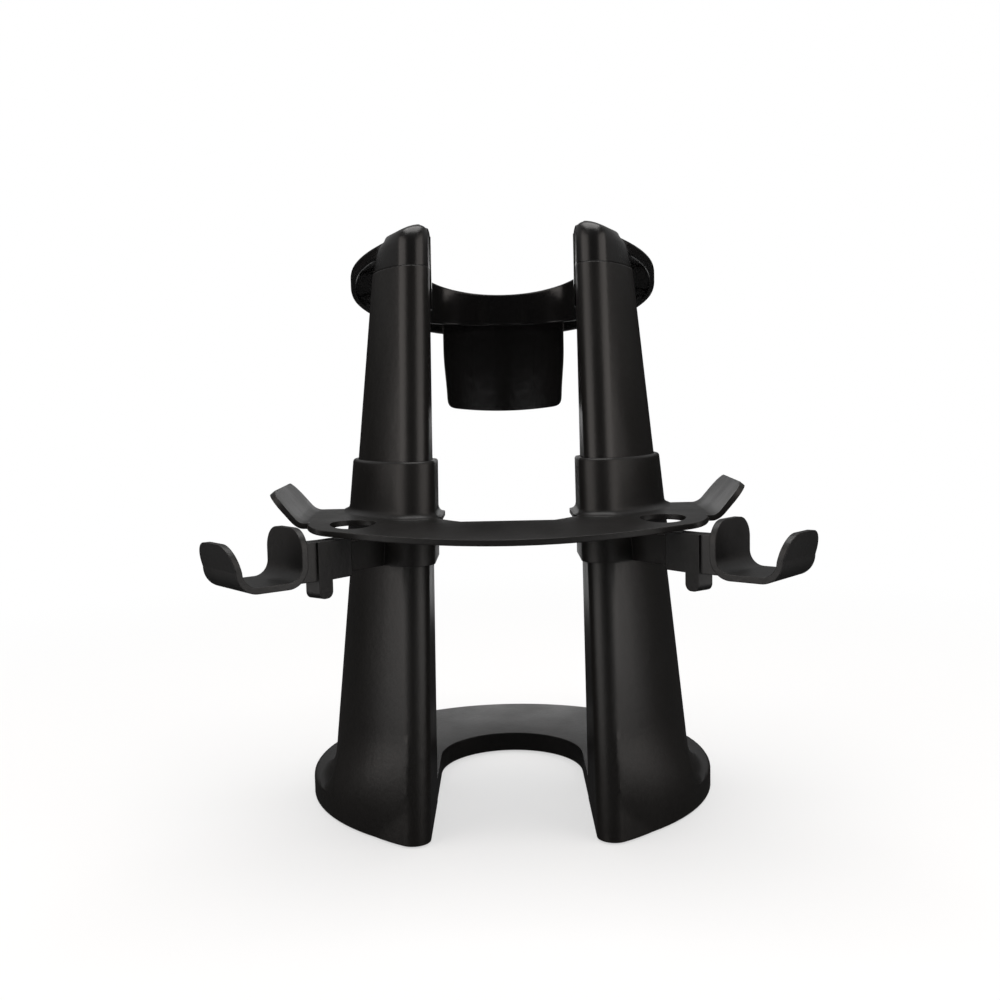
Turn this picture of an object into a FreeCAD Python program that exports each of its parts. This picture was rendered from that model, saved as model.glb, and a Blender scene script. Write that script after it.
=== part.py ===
import FreeCAD, Part
import math
import os

V = FreeCAD.Vector
os.makedirs("parts", exist_ok=True)

# Base plate and the two columns, one moulding
base_radius = 100.0
base_height = 10.5
rim_round = 2.0
wall = 2.6
pad_proud = 0.8
cut_end_y = 3.2
cut_relief = 0.15
corner_round = 8.5
round_steps = 4

# Column shell: tapered arc section round an axis ahead of the base centre
column_set_in = 11.1
column_radius = base_radius - column_set_in
column_top_radius = 62.2
column_axis_y = -14.7
column_depth = 18.2
column_rear_radius = column_top_radius - column_depth
column_rear_y = -10.8
column_end_y = -2.0
inner_face_x = 36.2
inner_face_lean = 0.0115
front_edge_round = 7.5
outer_edge_round = 6.0
rear_edge_round = 2.0
column_top_z = 252.0
column_levels = 4
foot_flare = 7.0
foot_rise = 14.0
foot_steps = 8
foot_inset = 0.15
spigot_height = 9.0
spigot_gap = 0.3
base_rib = 1.8

# Pads under the base
pad_radius = 7.0
pad_depth = 1.6
pad_boss_radius = 9.0
pad_set_in = 11.0
pad_front_deg = 42.0
pad_rear_deg = 138.0

# Tray: two sleeves on the columns joined by a brimmed plate
sleeve_gap = 0.3
sleeve_wall = 2.2
sleeve_bottom_z = 120.5
sleeve_top_z = 165.7
sleeve_foot = 3.0
ledge_depth = 3.0
ledge_height = 4.0
plate_top_z = 141.0
plate_thick = 2.4
plate_side_x = 91.0
plate_rear_y = -17.3
plate_front_y = -110.3
plate_front_sweep = 200.0
plate_corner = 18.0
brim_start_y = -72.0
brim_radius = 131.0
notch_y = -84.0
notch_half = 20.0
notch_depth = 40.0
wing_hole_radius = 9.8
wing_hole_x = 66.0
wing_hole_y = -83.5
flap_rise = 13.6
flap_angle = 50.0
flap_bend = 7.0
flap_front_y = -84.0
flap_corner = 9.0
flap_turn = 3.5

# Beam below each wing that carries a hook
beam_thick = 3.2
beam_bottom_z = 120.5
beam_top_z = 133.2
beam_root_deg = 46.4
beam_root_sink = 6.6
beam_tip_x = -77.0
beam_tip_y = -98.0

# Hook: clip over the beam tip and a two-lipped trough
hook_deg = 50.0
hook_width = 29.0
hook_thick = 2.6
hook_inner_u = 15.0
hook_outer_u = 46.0
hook_floor_z = 119.0
hook_inner_z = 142.3
hook_outer_z = 138.6
hook_bend = 9.0
hook_lean = 3.0
hook_lip_round = 9.0
clip_wall = 2.2
clip_gap = 0.2
clip_web = 2.0
clip_back = 13.0
clip_front = 6.0
tab_back = 1.6
tab_bottom_z = 111.5
tab_round = 3.0

# Saddle: domed open ring on the column tops
dome_radius = 432.4
dome_y = -102.7
dome_drop = 408.1
dome_z = column_top_z - dome_drop
cap_half_x = 76.5
cap_half_y = 60.5
cap_centre_y = 13.0
cap_wall = 2.4
rim_plane_rise = 1.0
rim_plane_z = column_top_z + rim_plane_rise
rim_plane_slope = 0.305
ear_round_height = 13.5
ear_round_curl = 25.0
ear_draw_start = 9.0
ear_draw_height = 10.5
ear_draw = 5.5
ear_steps = (0.0, 3.0, 6.0, 8.5, 10.5, 12.0, 13.5, 15.5, 17.2, 18.5, 19.5)
ear_edge_round = 3.5
band_set_in = 0.8
band_radius = column_rear_radius - band_set_in
band_wall = 2.4
band_drop = 17.0
band_bottom_z = column_top_z - band_drop
tongue_half = 33.5
tongue_drop = 65.0
tongue_bottom_z = column_top_z - tongue_drop
tongue_round = 9.0
tongue_wall = 2.8
saddle_rib = 2.0
saddle_rib_rows = (-1.0, 22.0)
saddle_reach = 150.0
saddle_low_z = column_top_z - 0.7 * saddle_reach


def arc(a, b, c):
    return Part.Arc(a, b, c).toShape()


def line(a, b):
    return Part.LineSegment(a, b).toShape()


def block(x0, x1, y0, y1, z0, z1):
    return Part.makeBox(x1 - x0, y1 - y0, z1 - z0, V(x0, y0, z0))


def mirrored(shape):
    return shape.mirror(V(0, 0, 0), V(1, 0, 0))


def arc_about(centre, radius, a, b):
    mid = (a + b) * 0.5 - centre
    mid.z = 0
    mid.normalize()
    return arc(a, centre + mid * radius, b)


def column_reach(z):
    # Radius of the outer face at height z
    return column_radius - (column_radius - column_top_radius) * z / column_top_z


def column_section(z, inset, curl=0.0, draw=0.0):
    # Left column outline at height z, drawn in by inset on every side and by draw at the front;
    # curl tightens the outer arc from the front edge on
    rear = V(0, column_rear_y, z)
    ro = column_reach(z) - inset - draw
    ri = column_rear_radius + inset
    xi = inner_face_x - inner_face_lean * z + inset
    ye = column_end_y - inset
    rf = max(front_edge_round - inset, 1.5)
    re = max(outer_edge_round - inset, 1.5)
    rb = max(rear_edge_round - inset, 0.8)

    fx = -(xi + rf)
    axis = V(0, column_axis_y, z)
    c1 = V(fx, axis.y - math.sqrt((ro - rf) ** 2 - fx ** 2), z)
    axis = c1 + (axis - c1) * ((ro - curl - rf) / (ro - rf))
    ro = ro - curl
    bx = -(xi + rb)
    c2 = V(bx, rear.y - math.sqrt((ri + rb) ** 2 - bx ** 2), z)
    dy = ye - rb - rear.y
    c3 = V(-math.sqrt((ri + rb) ** 2 - dy ** 2), ye - rb, z)
    ey = ye - re - axis.y
    c4 = V(axis.x - math.sqrt((ro - re) ** 2 - ey ** 2), ye - re, z)

    p1 = axis + (c1 - axis) * (ro / (ro - rf))
    p2 = V(-xi, c1.y, z)
    p3 = V(-xi, c2.y, z)
    p4 = rear + (c2 - rear) * (ri / (ri + rb))
    p5 = rear + (c3 - rear) * (ri / (ri + rb))
    p6 = V(c3.x, ye, z)
    p7 = V(c4.x, ye, z)
    p8 = axis + (c4 - axis) * (ro / (ro - re))
    return Part.Wire([
        arc_about(c1, rf, p1, p2), line(p2, p3), arc_about(c2, rb, p3, p4),
        arc_about(rear, ri, p4, p5), arc_about(c3, rb, p5, p6), line(p6, p7),
        arc_about(c4, re, p7, p8), arc_about(axis, ro, p8, p1)])


def stacked(rows):
    return Part.makeLoft(rows, True, True)


def column_body(z0, z1, inset):
    pitch = column_top_z / column_levels
    levels = [z0] + [k * pitch for k in range(1, column_levels) if z0 + 1.0 < k * pitch < z1 - 1.0] + [z1]
    if len(levels) == 2:
        levels.insert(1, (z0 + z1) / 2)
    return stacked([column_section(z, inset) for z in levels])


def ear_body(z0, z1, inset):
    # Column outline carried on above the seam, its outer side rounding over
    levels = [z0] + [column_top_z + h for h in ear_steps if z0 + 0.1 < column_top_z + h < z1 - 0.1] + [z1]

    def quarter(h, height):
        t = min(max(h / height, 0.0), 1.0)
        return 1.0 - math.sqrt(1.0 - t * t)

    rows = []
    for z in levels:
        h = z - column_top_z
        curl = ear_round_curl * quarter(h, ear_round_height)
        draw = ear_draw * quarter(h - ear_draw_start, ear_draw_height)
        rows.append(column_section(z, inset, curl - draw, draw))
    return stacked(rows)


def base_plan(inset, z=0.0):
    # Outline of the base at height z: a disc with a U-shaped opening to the front
    ro = base_radius - inset
    xi = inner_face_x + cut_relief + inset
    rf = corner_round
    fx = xi + rf
    fy = -math.sqrt((ro - rf) ** 2 - fx ** 2)
    k = ro / (ro - rf)
    rim_left = V(-fx * k, fy * k, z)
    rim_right = V(fx * k, fy * k, z)
    face_left = V(-xi, fy, z)
    face_right = V(xi, fy, z)
    end_left = V(-xi, cut_end_y, z)
    end_right = V(xi, cut_end_y, z)
    return Part.Wire([
        arc(rim_left, V(0, ro, z), rim_right), arc_about(V(fx, fy, z), rf, rim_right, face_right),
        line(face_right, end_right), arc(end_right, V(0, cut_end_y + xi, z), end_left),
        line(end_left, face_left), arc_about(V(-fx, fy, z), rf, face_left, rim_left)])


def base_prism(inset, z0, z1):
    return Part.Face(base_plan(inset, z0)).extrude(V(0, 0, z1 - z0))


def turned(profile, y):
    # Solid of revolution about the upright line through (0, y), from (radius, height) points
    points = [V(r, y, z) for r, z in profile]
    return Part.Face(Part.makePolygon(points + points[:1])).revolve(V(0, y, 0), V(0, 0, 1), 360)


def base_plate():
    # Disc with its upper edge rounded over in short steps
    profile = [(0, pad_proud), (base_radius, pad_proud)]
    for k in range(round_steps + 1):
        a = math.radians(90.0 * k / round_steps)
        z = base_height - rim_round * (1.0 - math.sin(a))
        profile.append((base_radius - rim_round * (1.0 - math.cos(a)), z))
    profile.append((0, base_height))
    return turned(profile, 0).common(base_prism(0.0, 0.0, base_height + 1.0))


def column_foot():
    # Concave sweep that runs the left column out into the base rim
    z0 = base_height
    profile = [(0, pad_proud), (column_reach(z0) + foot_flare, pad_proud)]
    for k in range(foot_steps):
        a = math.radians(90.0 * k / foot_steps)
        z = z0 + foot_rise * (1.0 - math.cos(a))
        profile.append((column_reach(z) + foot_flare * (1.0 - math.sin(a)), z))
    top = z0 + foot_rise + 1.0
    profile.append((column_reach(top) - 0.2, top))
    profile.append((0, top))
    side_x = inner_face_x + front_edge_round + 2.0
    side = block(-base_radius, -side_x, -base_radius, column_end_y, 0, 60.0)
    core = Part.makeCylinder(column_rear_radius + 6.0, 60.0, V(0, column_rear_y, 0))
    sweep = turned(profile, column_axis_y).common(base_prism(foot_inset, 0.0, 60.0))
    return sweep.common(side).cut(core)


def pad_places():
    places = []
    for name, deg in (("front", pad_front_deg), ("rear", pad_rear_deg)):
        for side, sign in (("left", -1), ("right", 1)):
            a = math.radians(deg)
            r = base_radius - pad_set_in
            places.append((name + "_" + side, sign * r * math.sin(a), -r * math.cos(a)))
    return places


def base_frame():
    left = column_body(pad_proud, column_top_z, 0.0).fuse(column_foot())
    outer = base_plate().fuse(left).fuse(mirrored(left))
    shaft = column_body(-1.0, column_top_z - wall, wall)
    hollow = base_prism(wall, -1.0, base_height - wall).fuse(shaft).fuse(mirrored(shaft))
    body = outer.cut(hollow)

    # Ribs and pad bosses inside the open underside
    inside = base_prism(wall / 2, pad_depth, base_height - wall / 2)
    for deg in (110.0, 145.0, 180.0, 215.0, 250.0):
        rib = block(-base_rib / 2, base_rib / 2, -base_radius, 0, pad_proud + 2.0, base_height)
        rib.rotate(V(0, 0, 0), V(0, 0, 1), deg)
        body = body.fuse(rib.common(inside))
    for _, x, y in pad_places():
        boss = Part.makeCylinder(pad_boss_radius, base_height, V(x, y, pad_depth))
        body = body.fuse(boss.common(inside))

    # Spigots that the saddle plugs on to, and the ledges the sleeves sit on
    spigot = ear_body(column_top_z - wall, column_top_z + spigot_height, cap_wall + spigot_gap)
    spigot = spigot.common(dome(cap_wall + spigot_gap))
    ledge_z = sleeve_bottom_z - ledge_height
    ledge = column_body(ledge_z, sleeve_bottom_z, -ledge_depth)
    ledge = ledge.cut(column_body(ledge_z - 1.0, sleeve_bottom_z + 1.0, wall / 2))
    behind = Part.makeCylinder(column_rear_radius + 1.0, 300.0, V(0, column_rear_y, 0))
    ledge = ledge.common(behind).common(block(-90, -inner_face_x - 3.0, -60, column_end_y - 4.0, 0, 300))
    for piece in (spigot, ledge):
        body = body.fuse(piece).fuse(mirrored(piece))
    return body.removeSplitter()


def plan_of_plate():
    # Left half of the tray plate, seen from above
    dy = plate_front_sweep - math.sqrt(plate_front_sweep ** 2 - plate_side_x ** 2)
    z = 0
    front_mid = V(0, plate_front_y, z)
    corner = V(-plate_side_x, plate_front_y + dy, z)
    qx = plate_side_x - plate_corner
    q = V(-qx, plate_front_y + plate_front_sweep - math.sqrt(plate_front_sweep ** 2 - qx ** 2), z)
    half = V(-qx / 2, plate_front_y + plate_front_sweep - math.sqrt(plate_front_sweep ** 2 - qx ** 2 / 4), z)
    side = V(-plate_side_x, corner.y + plate_corner * 0.8, z)
    bend = (q + side + corner * 2) * 0.25
    rear = V(-plate_side_x - 3.0, plate_rear_y, z)
    web = V(-inner_face_x + 1.2, notch_y + notch_depth, z)
    nick = V(-notch_half, notch_y, z)
    swell = V(-inner_face_x + 4.6, notch_y + notch_depth * 0.30, z)
    return Part.Wire([
        arc(front_mid, half, q), arc(q, bend, side), line(side, rear),
        line(rear, V(-60, plate_rear_y, z)), line(V(-60, plate_rear_y, z), V(-46, -44, z)),
        line(V(-46, -44, z), web), arc(web, swell, nick),
        line(nick, V(0, notch_y, z)), line(V(0, notch_y, z), front_mid)])


def brim_sheet():
    # Sheet that lies level and then droops towards the front edge
    z1 = plate_top_z
    z0 = plate_top_z - plate_thick
    y_end = plate_front_y - 4.0
    y_mid = (brim_start_y + y_end) / 2
    inner = brim_radius - plate_thick

    def drop(y, radius):
        return radius - math.sqrt(radius ** 2 - (brim_start_y - y) ** 2)

    top_mid = V(0, y_mid, z1 - drop(y_mid, brim_radius))
    top_end = V(0, y_end, z1 - drop(y_end, brim_radius))
    low_mid = V(0, y_mid, z0 - drop(y_mid, inner))
    low_end = V(0, y_end, z0 - drop(y_end, inner))
    rear_top = V(0, 10.0, z1)
    rear_low = V(0, 10.0, z0)
    start_top = V(0, brim_start_y, z1)
    start_low = V(0, brim_start_y, z0)
    face = Part.Face(Part.Wire([
        line(rear_top, start_top), arc(start_top, top_mid, top_end), line(top_end, low_end),
        arc(low_end, low_mid, start_low), line(start_low, rear_low), line(rear_low, rear_top)]))
    sheet = face.extrude(V(220.0, 0, 0))
    sheet.translate(V(-110.0, 0, 0))
    return sheet


def side_flap():
    # Up-turned flap along the outer edge of the left wing
    a = math.radians(flap_angle)
    x0 = -plate_side_x + 3.0
    xb = -plate_side_x
    z1 = plate_top_z
    z0 = z1 - plate_thick
    c = V(xb, 0, z1 + flap_bend)

    def on(radius, angle):
        return V(c.x - radius * math.sin(angle), 0, c.z - radius * math.cos(angle))

    outer = flap_bend + plate_thick
    tip_in = on(flap_bend, a)
    tip_out = on(outer, a)
    run = (flap_rise - (tip_in.z - z1)) / math.sin(a)
    way = V(-math.cos(a), 0, math.sin(a)) * run
    face = Part.Face(Part.Wire([
        line(V(x0, 0, z1), V(xb, 0, z1)), arc(V(xb, 0, z1), on(flap_bend, a / 2), tip_in),
        line(tip_in, tip_in + way), line(tip_in + way, tip_out + way), line(tip_out + way, tip_out),
        arc(tip_out, on(outer, a / 2), V(xb, 0, z0)), line(V(xb, 0, z0), V(x0, 0, z0)),
        line(V(x0, 0, z0), V(x0, 0, z1))]))
    flap = face.extrude(V(0, plate_rear_y - flap_front_y, 0))
    flap.translate(V(0, flap_front_y, 0))
    far_x = (tip_out + way).x
    ends = []
    for e in flap.Edges:
        box = e.BoundBox
        if box.YLength < 0.01 and box.XMin < far_x + plate_thick and box.XLength < plate_thick + 0.1:
            if abs(box.ZLength / max(box.XLength, 0.01) - math.cos(a) / math.sin(a)) < 0.2:
                if box.XMin < far_x + plate_thick * math.sin(a) + 0.1:
                    ends.append(e)
    flap = flap.makeFillet(flap_corner, ends)
    flap.rotate(V(-plate_side_x, flap_front_y, 0), V(0, 0, 1), flap_turn)
    return flap


def beam_line():
    # Root inside the left sleeve, and the run from there to the tip
    a = math.radians(beam_root_deg)
    r = column_reach(beam_bottom_z) - beam_root_sink
    root = V(-r * math.sin(a), column_axis_y - r * math.cos(a), 0)
    return root, V(beam_tip_x, beam_tip_y, 0) - root


def beam():
    root, way = beam_line()
    bar = block(0, way.Length, -beam_thick / 2, beam_thick / 2, beam_bottom_z, beam_top_z)
    bar.rotate(V(0, 0, 0), V(0, 0, 1), math.degrees(math.atan2(way.y, way.x)))
    bar.translate(root)
    return bar


def controller_tray():
    skin = sleeve_gap + sleeve_wall
    plate_low_z = plate_top_z - plate_thick
    edge = sleeve_wall * 0.55
    levels = [(sleeve_bottom_z, 0.0), (plate_low_z, 0.0), (plate_low_z + 0.4, sleeve_foot)]
    for k in range(round_steps + 1):
        a = math.radians(90.0 * k / round_steps)
        levels.append((plate_top_z + sleeve_foot * (1.0 - math.cos(a)), sleeve_foot * (1.0 - math.sin(a))))
    for k in range(round_steps):
        a = math.radians(90.0 * k / (round_steps - 1))
        levels.append((sleeve_top_z - edge * (1.0 - math.sin(a)), -edge * (1.0 - math.cos(a))))
    sleeve = stacked([column_section(z, -skin - out) for z, out in levels])
    plan = Part.Face(plan_of_plate()).extrude(V(0, 0, 300.0))
    left = brim_sheet().common(plan)
    hole = Part.makeCylinder(wing_hole_radius, 300.0, V(-wing_hole_x, wing_hole_y, 0))
    left = left.cut(hole).fuse(side_flap()).fuse(sleeve).fuse(beam())
    left = left.cut(column_body(0.0, column_top_z + 20.0, -sleeve_gap))
    return left.fuse(mirrored(left)).removeSplitter()


def controller_hook():
    # Left hook: u runs outward along the trough, the part is turned into place last
    t = hook_thick
    z0 = hook_floor_z
    r = hook_bend
    ui = hook_inner_u
    uo = hook_outer_u
    lip_in = V(ui, 0, hook_inner_z)
    lip_out = V(uo + hook_lean, 0, hook_outer_z)
    centre_in = V(ui + r, 0, z0 + r)
    s = math.sqrt(0.5)

    def bend(c, radius, sign):
        return arc(c + V(sign * radius, 0, 0), c + V(sign * radius * s, 0, -radius * s), c + V(0, 0, -radius))

    centre_out = V(uo - r, 0, z0 + r)
    low = r
    top = r - t
    wire = Part.Wire([
        line(lip_in, V(ui, 0, z0 + r)), bend(centre_in, low, -1),
        line(V(ui + r, 0, z0), V(uo - r, 0, z0)), bend(centre_out, low, 1),
        line(V(uo, 0, z0 + r), lip_out), line(lip_out, lip_out - V(t, 0, 0)),
        line(lip_out - V(t, 0, 0), V(uo - t, 0, z0 + r)), bend(centre_out, top, 1),
        line(V(uo - r, 0, z0 + t), V(ui + r, 0, z0 + t)), bend(centre_in, top, -1),
        line(V(ui + t, 0, z0 + r), V(ui + t, 0, hook_inner_z)),
        line(V(ui + t, 0, hook_inner_z), lip_in)])
    trough = Part.Face(wire).extrude(V(0, hook_width, 0))
    trough.translate(V(0, -hook_width / 2, 0))
    corners = []
    for e in trough.Edges:
        box = e.BoundBox
        if box.ZLength < 0.01 and box.YLength < 0.01 and box.ZMin > hook_outer_z - 0.1:
            corners.append(e)
    trough = trough.makeFillet(hook_lip_round, corners)

    # Clip: web on the beam's top edge, a cheek on each side, a tab at the tip and a neck to the inner lip
    way = beam_line()[1]
    beam_deg = math.degrees(math.atan2(way.y, way.x))
    hook_way = math.degrees(math.atan2(-math.cos(math.radians(hook_deg)), -math.sin(math.radians(hook_deg))))
    slot = beam_thick / 2 + clip_gap
    cheek = slot + clip_wall
    clip_top_z = beam_top_z + clip_web
    clip = block(-clip_back, clip_front, -cheek, cheek, hook_floor_z, clip_top_z)
    tab = block(-tab_back, clip_front, -cheek, cheek, tab_bottom_z, clip_top_z)
    tab = tab.makeFillet(tab_round, [e for e in tab.Edges if e.BoundBox.ZMax < tab_bottom_z + 0.01
                                     and e.BoundBox.YLength > cheek])
    void = block(-clip_back - 1.0, clip_gap, -slot, slot, tab_bottom_z - 1.0, beam_top_z)
    clip = clip.fuse(tab)
    for piece in (clip, void):
        piece.rotate(V(0, 0, 0), V(0, 0, 1), beam_deg - hook_way)
    neck = block(0.6, ui + 0.5, -cheek, cheek, hook_floor_z, clip_top_z)
    hook = trough.fuse(clip).fuse(neck).cut(void)
    hook.rotate(V(0, 0, 0), V(0, 0, 1), hook_way)
    hook.translate(V(beam_tip_x, beam_tip_y, 0))
    return hook.removeSplitter()


def cap_prism(inset):
    ring = Part.Ellipse(V(0, cap_centre_y, saddle_low_z), cap_half_x - inset, cap_half_y - inset)
    return Part.Face(Part.Wire([ring.toShape()])).extrude(V(0, 0, saddle_reach))


def dome(inset):
    return Part.makeSphere(dome_radius - inset, V(0, dome_y, dome_z))


def dome_height(p):
    return dome_z + math.sqrt(dome_radius ** 2 - p.x ** 2 - (p.y - dome_y) ** 2)


def edge_cutter(a, b, radius):
    # Stock to take off the upper right-hand edge from a to b, to leave it rounded
    way = (b - a).normalize()
    up = V(1, 0, 0).cross(way)
    side = V(1, 0, 0) * radius
    up = up * radius
    mid = (side + up) * (math.sqrt(0.5) - 1.0)
    edge = Part.Wire([
        arc(a - up, a + mid, a - side), line(a - side, a - side + up), line(a - side + up, a + side + up),
        line(a + side + up, a + side - up), line(a + side - up, a - up)])
    return Part.Face(edge).extrude(b - a)


def above_rim(offset):
    # Half space above the tilted plane of the rim
    y0 = -120.0
    y1 = 120.0
    z0 = rim_plane_z - rim_plane_slope * y0 + offset
    z1 = rim_plane_z - rim_plane_slope * y1 + offset
    z2 = z0 + saddle_reach
    side = [V(-120, y0, z0), V(-120, y1, z1), V(-120, y1, z2), V(-120, y0, z2), V(-120, y0, z0)]
    return Part.Face(Part.makePolygon(side)).extrude(V(240, 0, 0))


def headset_saddle():
    gap_x = inner_face_x - inner_face_lean * column_top_z
    neck = ear_body(column_top_z, column_top_z + 25.0, 0.0).common(dome(0.0))
    tip = V(-gap_x, column_axis_y - column_top_radius, 0)
    tip.z = dome_height(tip)
    root = V(-gap_x, 0, 0)
    root.z = dome_height(root)
    neck = neck.cut(edge_cutter(tip, root, ear_edge_round))
    bore = ear_body(column_top_z - 1.0, column_top_z + 24.0, cap_wall)
    necks = neck.fuse(mirrored(neck))
    bores = bore.fuse(mirrored(bore)).common(dome(cap_wall))
    cap = cap_prism(0.0).common(dome(0.0)).common(above_rim(0.0))
    void = cap_prism(cap_wall).common(dome(cap_wall)).common(above_rim(-60.0))
    ring_hole = Part.makeCylinder(band_radius, saddle_reach, V(0, 0, saddle_low_z))
    mouth = block(-gap_x, gap_x, -120.0, 0.0, saddle_low_z, saddle_low_z + saddle_reach)
    shell = cap.cut(void).fuse(necks).cut(bores)
    shell = shell.cut(ring_hole).cut(mouth)

    # Band round the inner edge
    band = Part.makeCylinder(band_radius + band_wall, 120.0, V(0, 0, band_bottom_z))
    band = band.cut(ring_hole).cut(mouth).common(dome(0.0))
    post = column_body(column_top_z - 40.0, column_top_z, -sleeve_gap)
    band = band.common(cap_prism(0.0)).cut(post).cut(mirrored(post)).cut(bores)

    # Tongue at the rear and ribs below the overhang
    tb = tongue_bottom_z
    tt = tb + 90.0
    k = tongue_round * (1 - math.sqrt(0.5))
    w = tongue_half
    r = tongue_round
    front = Part.Face(Part.Wire([
        line(V(-w, 0, tt), V(-w, 0, tb + r)), arc(V(-w, 0, tb + r), V(-w + k, 0, tb + k), V(-w + r, 0, tb)),
        line(V(-w + r, 0, tb), V(w - r, 0, tb)), arc(V(w - r, 0, tb), V(w - k, 0, tb + k), V(w, 0, tb + r)),
        line(V(w, 0, tb + r), V(w, 0, tt)), line(V(w, 0, tt), V(-w, 0, tt))])).extrude(V(0, 100, 0))
    tongue = cap_prism(0.0).cut(cap_prism(tongue_wall)).common(front).common(dome(0.0))
    body = shell.fuse(band).fuse(tongue)
    room = cap_prism(cap_wall / 2).common(dome(cap_wall / 2)).common(above_rim(1.5))
    keep = room.cut(Part.makeCylinder(band_radius + band_wall / 2, saddle_reach, V(0, 0, saddle_low_z)))
    for y in saddle_rib_rows:
        y0 = y - saddle_rib / 2
        z1 = saddle_low_z + saddle_reach
        rib = keep.common(block(-cap_half_x, cap_half_x, y0, y0 + saddle_rib, saddle_low_z, z1))
        body = body.fuse(rib.cut(bores))
    return body.removeSplitter()


def foot_pad(x, y):
    return Part.makeCylinder(pad_radius, pad_depth, V(x, y, 0))


left_hook = controller_hook()
nodes = {
    "base_frame": base_frame(),
    "controller_tray": controller_tray(),
    "headset_saddle": headset_saddle(),
    "left_controller_hook": left_hook,
    "right_controller_hook": mirrored(left_hook)}
for place, pad_x, pad_y in pad_places():
    nodes["foot_pad_" + place] = foot_pad(pad_x, pad_y)

# The origin is on the floor, midway between the hook tips and the back of the base
centre_y = (left_hook.optimalBoundingBox().YMin + base_radius) / 2
for name, shape in nodes.items():
    shape.translate(V(0, -centre_y, 0))
    shape.exportStep("parts/" + name + ".step")
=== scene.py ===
import bpy
import bmesh
import math
from mathutils import Matrix, Vector


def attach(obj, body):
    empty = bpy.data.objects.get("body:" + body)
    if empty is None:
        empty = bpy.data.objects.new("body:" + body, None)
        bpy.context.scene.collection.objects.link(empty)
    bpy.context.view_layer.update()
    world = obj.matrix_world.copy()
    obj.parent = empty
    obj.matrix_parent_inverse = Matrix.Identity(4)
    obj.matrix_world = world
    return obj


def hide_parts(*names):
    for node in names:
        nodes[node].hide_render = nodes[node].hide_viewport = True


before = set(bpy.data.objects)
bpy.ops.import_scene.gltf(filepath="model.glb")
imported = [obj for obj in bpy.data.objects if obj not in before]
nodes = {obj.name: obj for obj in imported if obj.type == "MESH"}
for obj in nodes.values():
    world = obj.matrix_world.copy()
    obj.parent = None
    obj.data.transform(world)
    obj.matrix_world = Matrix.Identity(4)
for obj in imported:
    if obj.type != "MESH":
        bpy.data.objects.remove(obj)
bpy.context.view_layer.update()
scene = bpy.context.scene
print("frame loaded:", len(nodes), "nodes")


def addNode(tree, kind, **values):
    node = tree.nodes.new(kind)
    for key, value in values.items():
        setattr(node, key, value)
    return node


def newGroup(name, inputs, outputs):
    group = bpy.data.node_groups.new(name, "ShaderNodeTree")
    for label, default in inputs:
        socket = group.interface.new_socket(name=label, in_out="INPUT", socket_type="NodeSocketFloat")
        socket.default_value = default
    for label in outputs:
        group.interface.new_socket(name=label, in_out="OUTPUT", socket_type="NodeSocketFloat")
    return group, group.nodes.new("NodeGroupInput"), group.nodes.new("NodeGroupOutput")


def maths(tree, operation, a, b=None, clamp=False):
    node = addNode(tree, "ShaderNodeMath", operation=operation, use_clamp=clamp)
    for socket, value in zip(node.inputs, (a, b)):
        if isinstance(value, (int, float)):
            socket.default_value = value
        elif value is not None:
            tree.links.new(value, socket)
    return node.outputs[0]


def ramp(tree, value, low, high, start=0.0, end=1.0):
    node = addNode(tree, "ShaderNodeMapRange", interpolation_type="SMOOTHSTEP")
    for label, number in (("From Min", low), ("From Max", high), ("To Min", start), ("To Max", end)):
        node.inputs[label].default_value = number
    tree.links.new(value, node.inputs["Value"])
    return node.outputs["Result"]


# Spark-eroded mould texture: fine pits with a coarser orange peel under them
grainLook = {"pitScale": 2600.0, "pitDetail": 3.0, "pitRoughness": 0.65, "peelScale": 420.0,
             "peelDetail": 1.0, "peelShare": 1.6}


def mouldGrainGroup(look):
    inputs = [("Pit Scale", look["pitScale"]), ("Peel Scale", look["peelScale"])]
    group, given, result = newGroup("mouldGrain", inputs, ["Height"])
    link = group.links.new
    place = addNode(group, "ShaderNodeTexCoord")
    pits = addNode(group, "ShaderNodeTexNoise", noise_dimensions="3D")
    pits.inputs["Detail"].default_value = look["pitDetail"]
    pits.inputs["Roughness"].default_value = look["pitRoughness"]
    peel = addNode(group, "ShaderNodeTexNoise", noise_dimensions="3D")
    peel.inputs["Detail"].default_value = look["peelDetail"]
    link(place.outputs["Object"], pits.inputs["Vector"])
    link(place.outputs["Object"], peel.inputs["Vector"])
    link(given.outputs["Pit Scale"], pits.inputs["Scale"])
    link(given.outputs["Peel Scale"], peel.inputs["Scale"])
    slow = maths(group, "MULTIPLY", peel.outputs["Fac"], look["peelShare"])
    link(maths(group, "ADD", pits.outputs["Fac"], slow), result.inputs["Height"])
    return group


# Slow mottling of the gloss: flow streaks down the mould and faint handling marks
mottleLook = {"low": 0.3, "high": 0.4, "scale": 30.0, "stretch": (1.0, 1.0, 0.35), "detail": 5.0,
              "roughness": 0.6, "spread": (0.32, 0.68)}


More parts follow.
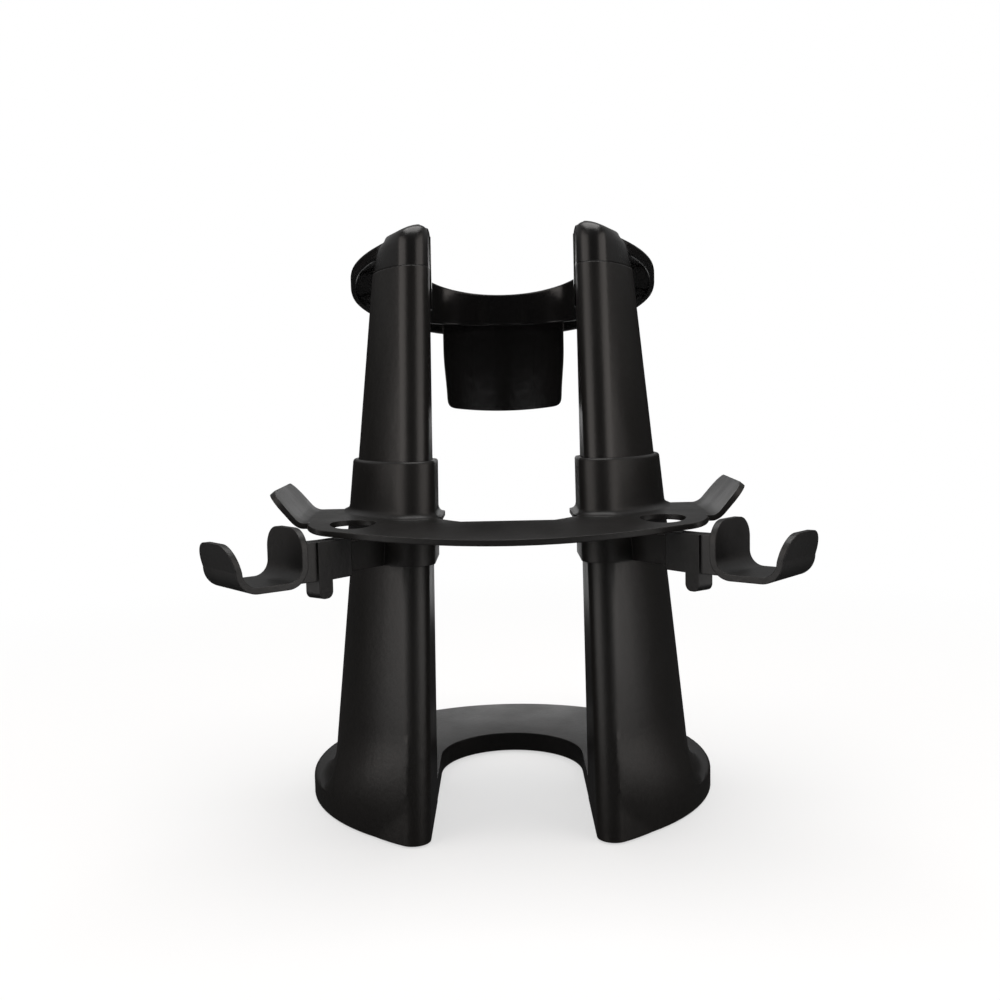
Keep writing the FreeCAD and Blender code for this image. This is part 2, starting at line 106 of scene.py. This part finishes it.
def mottleGroup(look):
    inputs = [("Low", look["low"]), ("High", look["high"]), ("Scale", look["scale"])]
    group, given, result = newGroup("glossMottle", inputs, ["Roughness"])
    link = group.links.new
    place = addNode(group, "ShaderNodeTexCoord")
    stretch = addNode(group, "ShaderNodeMapping")
    stretch.inputs["Scale"].default_value = look["stretch"]
    link(place.outputs["Object"], stretch.inputs["Vector"])
    cloud = addNode(group, "ShaderNodeTexNoise", noise_dimensions="3D")
    cloud.inputs["Detail"].default_value = look["detail"]
    cloud.inputs["Roughness"].default_value = look["roughness"]
    link(stretch.outputs["Vector"], cloud.inputs["Vector"])
    link(given.outputs["Scale"], cloud.inputs["Scale"])
    spread = addNode(group, "ShaderNodeMapRange", interpolation_type="SMOOTHSTEP")
    spread.inputs["From Min"].default_value, spread.inputs["From Max"].default_value = look["spread"]
    link(cloud.outputs["Fac"], spread.inputs["Value"])
    link(given.outputs["Low"], spread.inputs["To Min"])
    link(given.outputs["High"], spread.inputs["To Max"])
    link(spread.outputs["Result"], result.inputs["Roughness"])
    return group


# Edges rubbed a little paler and smoother, broken up by noise
rubLook = {"radius": 0.0008, "breakScale": 160.0, "samples": 6, "gain": 6.0, "detail": 4.0,
           "patchy": (0.42, 0.62)}


def edgeRubGroup(look):
    inputs = [("Radius", look["radius"]), ("Break Scale", look["breakScale"])]
    group, given, result = newGroup("edgeRub", inputs, ["Mask"])
    link = group.links.new
    place = addNode(group, "ShaderNodeTexCoord")
    shape = addNode(group, "ShaderNodeNewGeometry")
    rounded = addNode(group, "ShaderNodeBevel", samples=look["samples"])
    link(given.outputs["Radius"], rounded.inputs["Radius"])
    facing = addNode(group, "ShaderNodeVectorMath", operation="DOT_PRODUCT")
    link(rounded.outputs["Normal"], facing.inputs[0])
    link(shape.outputs["Normal"], facing.inputs[1])
    edge = maths(group, "SUBTRACT", 1.0, facing.outputs["Value"], clamp=True)
    edge = maths(group, "MULTIPLY", edge, look["gain"], clamp=True)
    specks = addNode(group, "ShaderNodeTexNoise", noise_dimensions="3D")
    specks.inputs["Detail"].default_value = look["detail"]
    link(place.outputs["Object"], specks.inputs["Vector"])
    link(given.outputs["Break Scale"], specks.inputs["Scale"])
    patchy = addNode(group, "ShaderNodeMapRange")
    patchy.inputs["From Min"].default_value, patchy.inputs["From Max"].default_value = look["patchy"]
    link(specks.outputs["Fac"], patchy.inputs["Value"])
    link(maths(group, "MULTIPLY", edge, patchy.outputs["Result"]), result.inputs["Mask"])
    return group


grain = mouldGrainGroup(grainLook)
mottle = mottleGroup(mottleLook)
edgeRub = edgeRubGroup(rubLook)


def groupNode(tree, group, **values):
    node = addNode(tree, "ShaderNodeGroup", node_tree=group)
    for label, value in values.items():
        node.inputs[label.replace("_", " ")].default_value = value
    return node


def mouldedPlastic(name, look):
    material = bpy.data.materials.new(name)
    material.use_nodes = True
    tree = material.node_tree
    tree.nodes.clear()
    link = tree.links.new
    shader = addNode(tree, "ShaderNodeBsdfPrincipled")
    shader.inputs["IOR"].default_value = look["ior"]

    rub = groupNode(tree, edgeRub, Radius=look["edgeRound"], Break_Scale=look["rubScale"])
    tint = addNode(tree, "ShaderNodeMix", data_type="RGBA", blend_type="MIX")
    tint.inputs["A"].default_value = (*look["colour"], 1.0)
    tint.inputs["B"].default_value = (*look["rubColour"], 1.0)
    link(rub.outputs["Mask"], tint.inputs["Factor"])
    link(tint.outputs["Result"], shader.inputs["Base Color"])

    cloud = groupNode(tree, mottle, Low=look["roughLow"], High=look["roughHigh"],
                      Scale=look["mottleScale"])
    worn = maths(tree, "MULTIPLY", rub.outputs["Mask"], look["rubPolish"])
    rough = maths(tree, "SUBTRACT", cloud.outputs["Roughness"], worn)
    place = addNode(tree, "ShaderNodeTexCoord")
    axes = addNode(tree, "ShaderNodeSeparateXYZ")
    link(place.outputs["Object"], axes.inputs["Vector"])
    satin = ramp(tree, axes.outputs["Y"], *look["satinSpan"], look["frontSatin"], 0.0)
    link(maths(tree, "ADD", rough, satin, clamp=True), shader.inputs["Roughness"])

    rounded = addNode(tree, "ShaderNodeBevel", samples=look["edgeSamples"])
    rounded.inputs["Radius"].default_value = look["edgeRound"]
    pits = groupNode(tree, grain, Pit_Scale=look["pitScale"], Peel_Scale=look["peelScale"])
    bump = addNode(tree, "ShaderNodeBump")
    bump.inputs["Strength"].default_value = look["bump"]
    bump.inputs["Distance"].default_value = look["bumpDepth"]
    link(pits.outputs["Height"], bump.inputs["Height"])
    link(rounded.outputs["Normal"], bump.inputs["Normal"])
    link(bump.outputs["Normal"], shader.inputs["Normal"])
    link(shader.outputs["BSDF"], addNode(tree, "ShaderNodeOutputMaterial").inputs["Surface"])
    return material


frameLook = {
    "colour": (0.0072, 0.0066, 0.0062), "rubColour": (0.012, 0.011, 0.0105), "rubScale": 170.0,
    "rubPolish": 0.06, "roughLow": 0.31, "roughHigh": 0.40, "mottleScale": 26.0, "edgeRound": 0.0007,
    "pitScale": 2600.0, "peelScale": 420.0, "bump": 0.10, "bumpDepth": 0.0004, "ior": 1.5,
    "edgeSamples": 6, "frontSatin": 0.0, "satinSpan": (-0.03, -0.005)}
trayLook = dict(frameLook, roughLow=0.33, roughHigh=0.42, mottleScale=34.0, edgeRound=0.0006, ior=1.44)
saddleLook = dict(frameLook, colour=(0.0056, 0.0054, 0.0054), roughLow=0.10, roughHigh=0.15,
                  bump=0.04, edgeRound=0.0011, frontSatin=0.17)
hookLook = dict(frameLook, colour=(0.0068, 0.0067, 0.0067), roughLow=0.36, roughHigh=0.46, bump=0.14,
                edgeRound=0.0006)
padLook = dict(frameLook, colour=(0.014, 0.014, 0.014), roughLow=0.78, roughHigh=0.9, bump=0.35,
               bumpDepth=0.0005, pitScale=1500.0, ior=1.45)

finishes = {
    "base_frame": mouldedPlastic("satinFramePlastic", frameLook),
    "controller_tray": mouldedPlastic("satinTrayPlastic", trayLook),
    "headset_saddle": mouldedPlastic("polishedSaddlePlastic", saddleLook),
    "hook": mouldedPlastic("mattHookPlastic", hookLook),
    "pad": mouldedPlastic("padRubber", padLook)}

for name, piece in nodes.items():
    kind = "hook" if name.endswith("hook") else "pad" if name.startswith("foot_pad") else name
    piece.data.materials.clear()
    piece.data.materials.append(finishes[kind])
print("finishes placed:", len(finishes))

# Saddle with its ears drawn to a point near the inner face, sloping down to the dome outside
earLook = {
    "peakX": 0.0372, "peakZ": 0.2715, "slope": 0.35, "tip": 0.0012, "sag": 9.0, "inner": 0.0053,
    "innerLimit": 0.995, "fade": (0.054, 0.072), "lift": 0.006, "blend": 0.0011, "rise": 0.0017,
    "riseFrom": 0.259, "rearFade": (-0.026, -0.003), "plane": -0.030, "ruledFrom": (-0.5209, 0.1873),
    "box": ((0.030, 0.070), (-0.040, 0.002), (0.254, 0.280)), "grain": 0.0013, "splits": 6,
    "soften": 4, "softenBy": 0.5, "softenUnder": -2.5, "softenShare": 0.5, "softenFront": 0.2,
    "crease": math.radians(38), "name": "pointedSaddle", "node": "headset_saddle", "slot": "saddle_black"}
mergeDistance = 1e-6  # joins the loose triangles of a copied CAD mesh
columnAxisY = 0.00488  # centre of the round that the columns and the saddle follow


def mergedCopy(source):
    form = bmesh.new()
    form.from_mesh(source.data)
    bmesh.ops.remove_doubles(form, verts=form.verts, dist=mergeDistance)
    return form


# Reshaped copy that stands in for its CAD node, creased where its faces meet sharply
def standIn(form, look):
    for face in form.faces:
        face.smooth = True
    for edge in form.edges:
        edge.smooth = len(edge.link_faces) == 2 and edge.calc_face_angle(0.0) < look["crease"]
    mesh = bpy.data.meshes.new(look["name"])
    form.to_mesh(mesh)
    form.free()
    if "custom_normal" in mesh.attributes:
        mesh.attributes.remove(mesh.attributes["custom_normal"])
    mesh.materials.clear()
    mesh.materials.append(finishes[look["node"]])
    piece = bpy.data.objects.new(look["name"], mesh)
    scene.collection.objects.link(piece)
    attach(piece, "root")
    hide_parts(look["node"])
    return piece


def smooth(value, low, high):
    t = min(max((value - low) / (high - low), 0.0), 1.0)
    return t * t * (3.0 - 2.0 * t)


# Finer triangles in the part of the mesh that is about to be moved
def refine(form, look, inside):
    for step in range(look["splits"]):
        longEdges = [edge for edge in form.edges if edge.calc_length() > look["grain"]
                     and any(inside(vert.co, look) for vert in edge.verts)]
        bmesh.ops.subdivide_edges(form, edges=longEdges, cuts=1)
        bmesh.ops.triangulate(form, faces=[face for face in form.faces if len(face.verts) > 3])


# Height that the ear's top is held under, ruled from the camera's place, and how much it counts there
def earCeiling(x, y, look):
    startY, startZ = look["ruledFrom"]
    spread = (y - startY) / (look["plane"] - startY)
    out = abs(x) / spread - look["peakX"]
    if out > 0.0:
        fall = math.hypot(look["tip"], look["slope"] * out) - look["tip"] + look["sag"] * out * out
    else:
        within = min(-out, look["inner"] * look["innerLimit"])
        fall = look["inner"] - math.sqrt(look["inner"] ** 2 - within ** 2)
    free = smooth(abs(x) / spread, *look["fade"])
    return startZ + (look["peakZ"] - fall - startZ) * spread + look["lift"] * free, 1.0 - free


def inEar(point, look):
    place = (abs(point.x), point.y, point.z)
    return all(low < value < high for value, (low, high) in zip(place, look["box"]))


# Tongue's lower end: corners squared, sides drawn in a little and the edge bowed
tongueLook = {"half": 0.0335, "bottom": 0.187, "round": 0.009, "square": 5.0, "bow": 0.0024,
              "drawn": 0.0016, "height": 0.036, "rear": 0.030, "axisY": columnAxisY, "slack": 0.0001,
              "grain": 0.0022, "splits": 5}


def inTongue(point, look):
    low = point.z < look["bottom"] + look["height"]
    return low and point.y > look["rear"] and abs(point.x) < look["half"] + look["slack"]


def squaredTongue(form, look):
    refine(form, look, inTongue)
    power = look["square"]
    for vert in form.verts:
        if not inTongue(vert.co, look):
            continue
        aside, y, z = abs(vert.co.x), vert.co.y - look["axisY"], vert.co.z
        radius = math.hypot(aside, y)
        low = 1.0 - smooth(z, look["bottom"], look["bottom"] + look["height"])
        across = aside - look["half"] + look["round"]
        down = look["bottom"] + look["round"] - z
        if across > 0.0 and down > 0.0:
            stretch = math.hypot(across, down) / (across ** power + down ** power) ** (1.0 / power)
            aside += across * (stretch - 1.0)
            z -= down * (stretch - 1.0)
        share = aside / look["half"]
        aside -= look["drawn"] * low * share
        z += look["bow"] * low * share ** 2
        y = math.sqrt(radius ** 2 - aside ** 2)
        vert.co = (math.copysign(aside, vert.co.x), y + look["axisY"], z)


# Dome let down a little behind the columns, with the rim and the band
rearLook = {"drop": 0.0021, "along": (0.012, 0.042), "above": (0.200, 0.230)}


def loweredRear(form, look):
    for vert in form.verts:
        share = smooth(vert.co.y, *look["along"]) * smooth(vert.co.z, *look["above"])
        vert.co.z -= look["drop"] * share


def pointedSaddle(source, look):
    form = mergedCopy(source)
    refine(form, look, inEar)
    moved = []
    for vert in form.verts:
        if inEar(vert.co, look):
            ceiling, share = earCeiling(vert.co.x, vert.co.y, look)
            front = 1.0 - smooth(vert.co.y, *look["rearFade"])
            lifted = smooth(vert.co.z, look["riseFrom"], look["peakZ"])
            height = vert.co.z + look["rise"] * share * front * lifted
            under = (height - ceiling) / look["blend"]
            soft = math.log1p(math.exp(min(under, 60.0)))  # soft minimum, held below overflow
            vert.co.z = height - look["blend"] * front * soft
            nearTop = under > look["softenUnder"] and share > look["softenShare"]
            if nearTop and front > look["softenFront"]:
                moved.append(vert)
    for step in range(look["soften"]):
        bmesh.ops.smooth_vert(form, verts=moved, factor=look["softenBy"], use_axis_x=True,
                              use_axis_y=True, use_axis_z=True)
    squaredTongue(form, tongueLook)
    loweredRear(form, rearLook)
    return standIn(form, look)


saddle = pointedSaddle(nodes["headset_saddle"], earLook)
print("saddle shaped:", len(saddle.data.polygons), "faces")

# Tray with its end flaps set in, the wing shortened between hole and flap
flapLook = {"setIn": 0.0056, "from": 0.0775, "to": 0.0985, "crease": math.radians(30),
            "name": "setInTray", "node": "controller_tray", "slot": "tray_black"}


def setInTray(source, look):
    form = mergedCopy(source)
    for vert in form.verts:
        shift = look["setIn"] * smooth(abs(vert.co.x), look["from"], look["to"])
        vert.co.x -= math.copysign(shift, vert.co.x)
    return standIn(form, look)


tray = setInTray(nodes["controller_tray"], flapLook)
print("tray shaped:", len(tray.data.polygons), "faces")

# Frame with the columns' outer wall run down to the base's edge as one skirt, ledge left at the sides
skirtLook = {"axisY": columnAxisY, "radius": 0.0889, "topRadius": 0.0622, "top": 0.252, "baseY": 0.01958,
             "baseRadius": 0.100, "low": 0.008, "high": 0.046, "from": (29.0, 35.0), "to": (64.0, 76.0),
             "inside": 0.072, "skin": 0.0008, "outward": -0.2, "upward": -0.3, "reach": 0.012,
             "halvings": 24, "grain": 0.0022, "splits": 5, "crease": math.radians(32),
             "name": "skirtedFrame", "node": "base_frame", "slot": "frame_black"}


def aroundColumn(point, look):
    out = Vector((point.x, point.y - look["axisY"], 0.0))
    return out.length, math.degrees(math.atan2(abs(out.x), -out.y)), out.normalized()


def inSkirt(point, look):
    radius, angle, way = aroundColumn(point, look)
    return point.z < look["high"] and radius > look["inside"] and look["from"][0] < angle < look["to"][1]


# Radius of the column's wall at a height, and of the base's edge, seen from the columns' axis
def wallAndEdge(z, angle, look):
    behind = look["baseY"] - look["axisY"]
    across = behind * math.cos(math.radians(angle))
    edge = math.sqrt(across ** 2 + look["baseRadius"] ** 2 - behind ** 2) - across
    wall = look["radius"] + (look["topRadius"] - look["radius"]) * z / look["top"]
    return wall, edge


def skirtRadius(z, angle, look):
    wall, edge = wallAndEdge(z, angle, look)
    return edge + (wall - edge) * smooth(z, look["low"], look["high"])


def skirtedFrame(source, look):
    form = mergedCopy(source)
    refine(form, look, inSkirt)
    form.normal_update()
    for vert in form.verts:
        radius, angle, way = aroundColumn(vert.co, look)
        turnedIn = vert.normal.dot(way) < look["outward"] or vert.normal.z < look["upward"]
        if turnedIn or not inSkirt(vert.co, look):
            continue
        skin = min(wallAndEdge(vert.co.z, angle, look)) - look["skin"]
        if radius < skin or skirtRadius(vert.co.z, angle, look) <= radius:
            continue
        near, far = 0.0, look["reach"]
        for step in range(look["halvings"]):  # how far out and up the vertex meets the skirt
            middle = 0.5 * (near + far)
            inside = skirtRadius(vert.co.z + middle, angle, look) > radius + middle
            near, far = (middle, far) if inside else (near, middle)
        share = smooth(angle, *look["from"]) * (1.0 - smooth(angle, *look["to"]))
        vert.co += (way + Vector((0.0, 0.0, 1.0))) * near * share
    return standIn(form, look)


stand = skirtedFrame(nodes["base_frame"], skirtLook)
print("frame shaped:", len(stand.data.polygons), "faces")

# Floor: pale and matt, brightened to the backdrop's white where the camera sees it, keeping the shadow
floorLook = {"size": 6.0, "colour": (0.86, 0.86, 0.86), "glow": 0.55, "near": 0.22, "far": 0.75,
             "mirrored": 0.03, "sideMirrored": 1.1, "sideNear": 0.2, "sideFar": 0.5, "sideFront": -0.2,
             "sideRear": 0.05, "backMirrored": 0.9, "backNarrow": 0.08, "backWide": 0.14,
             "backFrom": 0.4, "backTo": 0.6}


def paleFloor(look):
    mesh = bpy.data.meshes.new("paleFloor")
    form = bmesh.new()
    bmesh.ops.create_grid(form, x_segments=1, y_segments=1, size=look["size"])
    form.to_mesh(mesh)
    form.free()
    floor = bpy.data.objects.new("paleFloor", mesh)
    scene.collection.objects.link(floor)
    material = bpy.data.materials.new("paleFloor")
    material.use_nodes = True
    tree = material.node_tree
    tree.nodes.clear()
    matt = addNode(tree, "ShaderNodeBsdfDiffuse")
    matt.inputs["Color"].default_value = (*look["colour"], 1.0)
    glow = addNode(tree, "ShaderNodeEmission")
    rays = addNode(tree, "ShaderNodeLightPath")
    place = addNode(tree, "ShaderNodeTexCoord")
    axes = addNode(tree, "ShaderNodeSeparateXYZ")
    tree.links.new(place.outputs["Object"], axes.inputs["Vector"])
    away = addNode(tree, "ShaderNodeVectorMath", operation="LENGTH")
    tree.links.new(place.outputs["Object"], away.inputs[0])
    glossy = rays.outputs["Is Glossy Ray"]
    spread = ramp(tree, away.outputs["Value"], look["near"], look["far"], look["glow"], 1.0)
    seen = maths(tree, "MULTIPLY", rays.outputs["Is Camera Ray"], spread)
    share = maths(tree, "MAXIMUM", seen, glossy)
    aside = maths(tree, "ABSOLUTE", axes.outputs["X"])
    sides = ramp(tree, aside, look["sideNear"], look["sideFar"], 0.0, look["sideMirrored"])
    front = ramp(tree, axes.outputs["Y"], look["sideFront"], look["sideRear"], 1.0, 0.0)
    sides = maths(tree, "MULTIPLY", sides, front)
    back = ramp(tree, aside, look["backNarrow"], look["backWide"], look["backMirrored"], 0.0)
    rear = ramp(tree, axes.outputs["Y"], look["backFrom"], look["backTo"])
    back = maths(tree, "MULTIPLY", back, rear)
    mirrored = maths(tree, "ADD", maths(tree, "ADD", sides, back), look["mirrored"])
    dim = maths(tree, "MULTIPLY", glossy, maths(tree, "SUBTRACT", mirrored, 1.0))
    tree.links.new(maths(tree, "ADD", dim, 1.0), glow.inputs["Strength"])
    mix = addNode(tree, "ShaderNodeMixShader")
    tree.links.new(share, mix.inputs["Fac"])
    tree.links.new(matt.outputs["BSDF"], mix.inputs[1])
    tree.links.new(glow.outputs["Emission"], mix.inputs[2])
    tree.links.new(mix.outputs["Shader"], addNode(tree, "ShaderNodeOutputMaterial").inputs["Surface"])
    mesh.materials.append(material)
    return floor


paleFloor(floorLook)
print("floor laid")

# Studio: narrow white backdrop behind the stand, dim room, tall soft boxes at both sides
roomLook = {"backdrop": 1.5, "narrow": 0.09, "wide": 0.19, "behind": (0.0, 0.4), "panelTop": (0.11, 0.17),
            "upper": 0.27, "upperFrom": (0.16, 0.3), "room": 0.01, "fill": 0.45}


def studioWorld(look):
    world = bpy.data.worlds.new("studio")
    scene.world = world
    world.use_nodes = True
    tree = world.node_tree
    tree.nodes.clear()
    link = tree.links.new
    rays = addNode(tree, "ShaderNodeLightPath")
    way = addNode(tree, "ShaderNodeTexCoord")
    axes = addNode(tree, "ShaderNodeSeparateXYZ")
    link(way.outputs["Generated"], axes.inputs["Vector"])

    aside = maths(tree, "ABSOLUTE", axes.outputs["X"])
    behind = ramp(tree, axes.outputs["Y"], *look["behind"])
    panel = ramp(tree, aside, look["narrow"], look["wide"], look["backdrop"], 0.0)
    panel = maths(tree, "MULTIPLY", panel, ramp(tree, axes.outputs["Z"], *look["panelTop"], 1.0, 0.0))
    upper = ramp(tree, axes.outputs["Z"], *look["upperFrom"], 0.0, look["upper"])
    seen = maths(tree, "MULTIPLY", maths(tree, "MAXIMUM", panel, upper), behind)
    seen = maths(tree, "ADD", seen, look["room"])
    glossy = maths(tree, "MULTIPLY", rays.outputs["Is Glossy Ray"], seen)
    diffuse = maths(tree, "MULTIPLY", rays.outputs["Is Diffuse Ray"], look["fill"])
    clear = maths(tree, "MAXIMUM", rays.outputs["Is Camera Ray"], rays.outputs["Is Transmission Ray"])
    light = maths(tree, "MAXIMUM", maths(tree, "MAXIMUM", glossy, diffuse), clear)
    sky = addNode(tree, "ShaderNodeBackground")
    sky.inputs["Color"].default_value = (1.0, 1.0, 1.0, 1.0)
    link(light, sky.inputs["Strength"])
    link(sky.outputs["Background"], addNode(tree, "ShaderNodeOutputWorld").inputs["Surface"])


studioWorld(roomLook)

sideBox = {"aim": (0.0, 0.0, 0.16), "size": (1.26, 1.5), "power": 8.7, "colour": (1.0, 0.93, 0.885)}
softBoxes = [
    dict(sideBox, name="leftBox", at=(-1.19, -0.57, 0.42)),
    dict(sideBox, name="rightBox", at=(1.19, -0.57, 0.42)),
    {"name": "topBox", "at": (0.0, 0.05, 1.5), "aim": (0.0, 0.0, 0.0), "size": (1.4, 1.1),
     "power": 16.0, "colour": (1.0, 0.985, 0.97)}]


def softBox(box):
    lamp = bpy.data.lights.new(box["name"], "AREA")
    lamp.shape = "RECTANGLE"
    lamp.size, lamp.size_y = box["size"]
    lamp.energy = box["power"]
    lamp.color = box["colour"]
    holder = bpy.data.objects.new(box["name"], lamp)
    holder.location = box["at"]
    holder.rotation_euler = (Vector(box["aim"]) - Vector(box["at"])).to_track_quat("-Z", "Y").to_euler()
    scene.collection.objects.link(holder)


for box in softBoxes:
    softBox(box)
print("studio lit:", len(softBoxes), "soft boxes")

# Camera at the photograph's viewing angle, in metres and radians
shot = {"at": (-0.0013, -0.5209, 0.1873), "lens": 38.79, "sensor": 36.0, "down": math.radians(4.756),
        "yaw": 0.004, "roll": -0.0207, "clip": 0.01}
eye = bpy.data.cameras.new("shot")
eye.lens = shot["lens"]
eye.sensor_width = shot["sensor"]
eye.sensor_fit = "HORIZONTAL"
eye.clip_start = shot["clip"]
camera = bpy.data.objects.new("shot", eye)
turn = Matrix.Rotation(shot["yaw"], 4, "Z") @ Matrix.Rotation(math.pi / 2 - shot["down"], 4, "X")
turn = turn @ Matrix.Rotation(shot["roll"], 4, "Z")
camera.matrix_world = Matrix.Translation(shot["at"]) @ turn
scene.collection.objects.link(camera)
scene.camera = camera
scene.view_settings.view_transform = "Standard"
